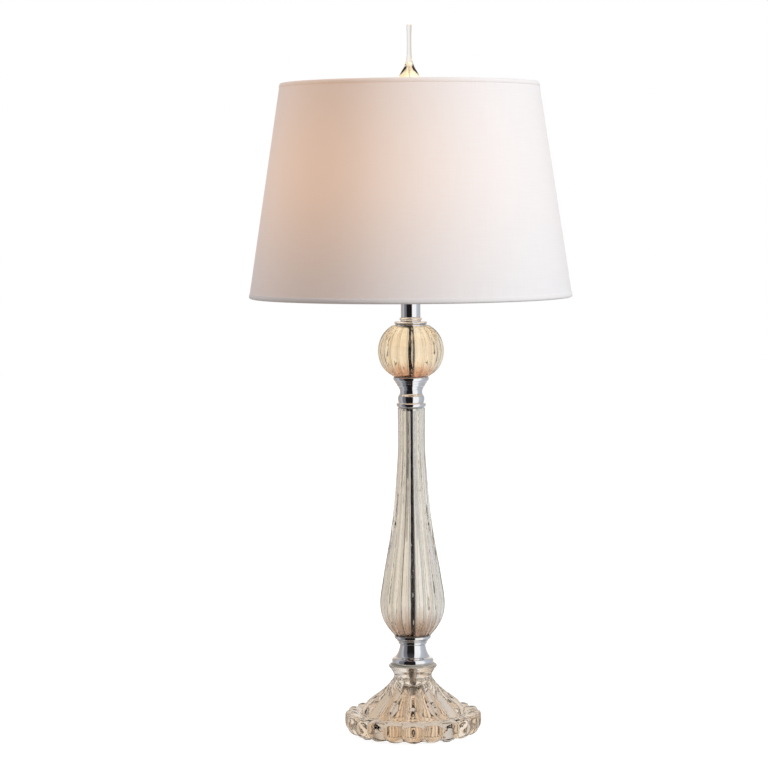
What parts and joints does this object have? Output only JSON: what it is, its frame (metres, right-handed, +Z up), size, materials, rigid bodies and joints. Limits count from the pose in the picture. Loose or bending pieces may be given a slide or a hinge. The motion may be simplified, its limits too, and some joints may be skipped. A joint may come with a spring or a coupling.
{
  "type": "table lamp",
  "caption": "Tall candlestick table lamp: lobed amber glass foot, ribbed baluster column and ball, chrome collars, harp, socket, tapered drum shade and slender glass finial.",
  "frame": {"origin": "centre of the foot on the table, under the lamp's axis", "axes": "+Z up along the lamp's axis, -Y towards the front, +Y towards the cord bushing, +X to the right"},
  "size_m": [0.381, 0.3809, 0.839],
  "materials": {
    "clear_amber_glass": "clear champagne-amber pressed and ribbed glass",
    "silver_champagne_glass": "clear ribbed glass with a pale silver-champagne lustre",
    "clear_glass": "clear, polished",
    "chrome": "bright chrome plate",
    "zinc_steel": "zinc-plated steel",
    "nickel": "bright nickel plate",
    "socket_brass": "bright brass plate",
    "black_plastic": "moulded, satin",
    "fibre_paper": "vulcanised fibre",
    "soft_pad": "soft, matt",
    "bulb_plastic": "opal white",
    "board": "white solder mask",
    "shade_board": "white styrene sheet",
    "white_linen": "fine plain weave"
  },
  "bodies": {
    "stand": {"foot_glass": "clear_amber_glass", "foot_pads": "soft_pad", "cord_bushing": "black_plastic", "base_gasket": "soft_pad", "base_washer": "zinc_steel", "base_lock_washer": "zinc_steel", "base_nut": "zinc_steel", "threaded_pipe": "zinc_steel", "foot_gasket": "soft_pad", "lower_collar": "chrome", "column_bottom_gasket": "soft_pad", "column_glass": "silver_champagne_glass", "column_sleeve": "chrome", "column_top_gasket": "soft_pad", "upper_collar": "chrome", "ball_bottom_gasket": "soft_pad", "ball_glass": "clear_amber_glass", "ball_sleeve": "chrome", "ball_top_gasket": "soft_pad", "ball_cap": "chrome", "neck_ring": "chrome", "neck_tube": "chrome", "neck_cap": "chrome", "harp_saddle": "zinc_steel", "socket_cap": "socket_brass", "cap_set_screw": "zinc_steel", "socket_shell": "socket_brass", "insulating_liner": "fibre_paper", "socket_body": "black_plastic", "screw_shell": "socket_brass", "centre_contact": "socket_brass", "terminal_screws": "zinc_steel"},
    "switch": {"switch_shaft": "socket_brass", "switch_knob": "black_plastic"},
    "bulb_base": {"bulb_contact": "socket_brass", "bulb_insulator": "black_plastic"},
    "bulb": {"bulb_screw_cap": "nickel", "bulb_housing": "bulb_plastic", "led_board": "board", "bulb_globe": "bulb_plastic"},
    "harp": {"harp_wire": "nickel", "harp_bracket": "nickel"},
    "ferrule_left": {"ferrule_left": "nickel"},
    "ferrule_right": {"ferrule_right": "nickel"},
    "swivel": {"shade_stud": "nickel"},
    "shade": {"spider_hub": "zinc_steel", "spider_spokes": "zinc_steel", "top_ring": "zinc_steel", "bottom_ring": "zinc_steel", "shade_liner": "shade_board", "shade_cover": "white_linen"},
    "finial_seat": {"finial_washer": "nickel"},
    "finial": {"finial_base": "chrome", "finial_glass": "clear_glass"}
  },
  "joints": [
    {"name": "switch_turn", "type": "hinge", "parent": "stand", "child": "switch", "pos_m": [0, 0, 0.5549], "axis": [0, -1, 0], "continuous": true},
    {"name": "bulb_rise", "type": "slide", "parent": "stand", "child": "bulb_base", "axis": [0, 0, 1], "range_m": [0, 0.01281]},
    {"name": "bulb_turn", "type": "hinge", "parent": "bulb_base", "child": "bulb", "pos_m": [0, 0, 0.5675], "axis": [0, 0, 1], "range_deg": [0, 1260]},
    {"name": "harp_lift", "type": "slide", "parent": "stand", "child": "harp", "axis": [0, 0, 1], "range_m": [0, 0.02]},
    {"name": "ferrule_left_slide", "type": "slide", "parent": "harp", "child": "ferrule_left", "axis": [0, 0, 1], "range_m": [0, 0.01]},
    {"name": "ferrule_right_slide", "type": "slide", "parent": "harp", "child": "ferrule_right", "axis": [0, 0, 1], "range_m": [0, 0.01]},
    {"name": "shade_swivel", "type": "hinge", "parent": "harp", "child": "swivel", "pos_m": [0, 0, 0.7589], "axis": [0, 0, 1], "continuous": true},
    {"name": "shade_lift", "type": "slide", "parent": "swivel", "child": "shade", "axis": [0, 0, 1], "range_m": [0, 0.02]},
    {"name": "finial_rise", "type": "slide", "parent": "shade", "child": "finial_seat", "axis": [0, 0, 1], "range_m": [0, 0.00856]},
    {"name": "finial_turn", "type": "hinge", "parent": "finial_seat", "child": "finial", "pos_m": [0, 0, 0.762], "axis": [0, 0, 1], "range_deg": [0, 3240]}
  ],
  "couplings": [
    {"joint": "bulb_rise", "follows": "bulb_turn", "m_per_rad": 0.00057773},
    {"joint": "finial_rise", "follows": "finial_turn", "m_per_rad": 0.00014961}
  ]
}
